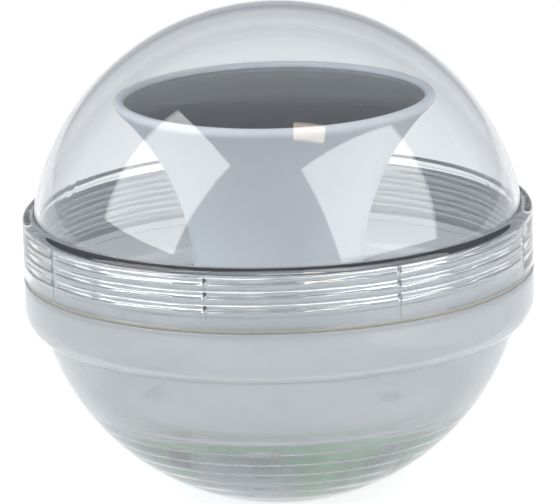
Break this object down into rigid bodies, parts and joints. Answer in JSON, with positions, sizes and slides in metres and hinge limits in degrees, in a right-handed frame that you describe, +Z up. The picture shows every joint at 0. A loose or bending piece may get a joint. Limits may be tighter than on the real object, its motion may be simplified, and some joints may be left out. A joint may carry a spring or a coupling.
{
  "type": "floating pool light",
  "caption": "Solar floating pool light: clear domed lid screwed on a milky bowl, with a white trumpet tower that carries a solar panel above and a circuit board with LEDs below.",
  "frame": {"origin": "centre of the small flat foot under the bowl, at the height of the surface that it stands on", "axes": "+Z up along the axis of the shells; the front, where one LED stands, faces -Y"},
  "size_m": [0.15, 0.15, 0.1461],
  "materials": {
    "clear_dome": "clear polished moulded polycarbonate",
    "milky_bowl": "natural milky polypropylene, satin gloss",
    "seal_rubber": "translucent beige silicone",
    "white_tower": "white moulded ABS",
    "panel_board": "black solder mask on fibreglass",
    "silicon": "dark coated silicon with fine silver fingers",
    "tinned_metal": "tin-plated copper",
    "clear_resin": "poured clear epoxy",
    "red_lead": "red PVC insulation",
    "black_lead": "black PVC insulation",
    "green_board": "green solder mask on fibreglass",
    "led_resin": "clear cast epoxy",
    "white_spacer": "white nylon",
    "holder_plastic": "pale grey moulded ABS",
    "cell_can": "nickel-plated steel",
    "cell_sleeve": "plain shrink sleeve",
    "contact_steel": "nickel-plated spring steel",
    "black_parts": "black moulded epoxy",
    "ferrite": "ferrite drum",
    "capacitor_sleeve": "black shrink sleeve",
    "switch_plastic": "black moulded nylon",
    "screw_steel": "zinc-plated steel"
  },
  "bodies": {
    "base": {"bowl": "milky_bowl", "light_tower": "white_tower", "panel_backing": "panel_board", "solar_cell": "silicon", "cell_ribbons": "tinned_metal", "solder_joints": "tinned_metal", "panel_resin": "clear_resin", "panel_lead_red": "red_lead", "panel_lead_black": "black_lead", "circuit_board": "green_board", "led_1": "led_resin", "led_2": "led_resin", "led_3": "led_resin", "led_spacer_1": "white_spacer", "led_spacer_2": "white_spacer", "led_spacer_3": "white_spacer", "led_frame_1": "tinned_metal", "led_frame_2": "tinned_metal", "led_frame_3": "tinned_metal", "battery_holder": "holder_plastic", "battery_cell_1": "cell_can", "battery_cell_2": "cell_can", "battery_sleeve_1": "cell_sleeve", "battery_sleeve_2": "cell_sleeve", "contact_spring_1": "contact_steel", "contact_spring_2": "contact_steel", "contact_plate_1": "contact_steel", "contact_plate_2": "contact_steel", "battery_lead_red": "red_lead", "battery_lead_black": "black_lead", "controller_chip": "black_parts", "chip_legs": "tinned_metal", "inductor": "ferrite", "capacitor": "capacitor_sleeve", "diode": "black_parts", "resistors": "black_parts", "switch_body": "switch_plastic", "switch_terminals": "tinned_metal", "post_screw_1": "screw_steel", "post_screw_2": "screw_steel", "post_screw_3": "screw_steel"},
    "seal": {"seal_ring": "seal_rubber"},
    "dome_body": {"dome": "clear_dome"},
    "slider": {"switch_slider": "switch_plastic"}
  },
  "joints": [
    {"name": "dome_lift", "type": "slide", "parent": "base", "child": "seal", "axis": [0, 0, 1], "range_m": [0, 0.012]},
    {"name": "dome_unscrew", "type": "hinge", "parent": "seal", "child": "dome_body", "pos_m": [0, 0, 0.077], "axis": [0, 0, 1], "range_deg": [0, 1080]},
    {"name": "switch_slide", "type": "slide", "parent": "base", "child": "slider", "axis": [1, 0, 0], "range_m": [0, 0.003]}
  ],
  "couplings": [
    {"joint": "dome_lift", "follows": "dome_unscrew", "m_per_rad": 0.00063662}
  ]
}
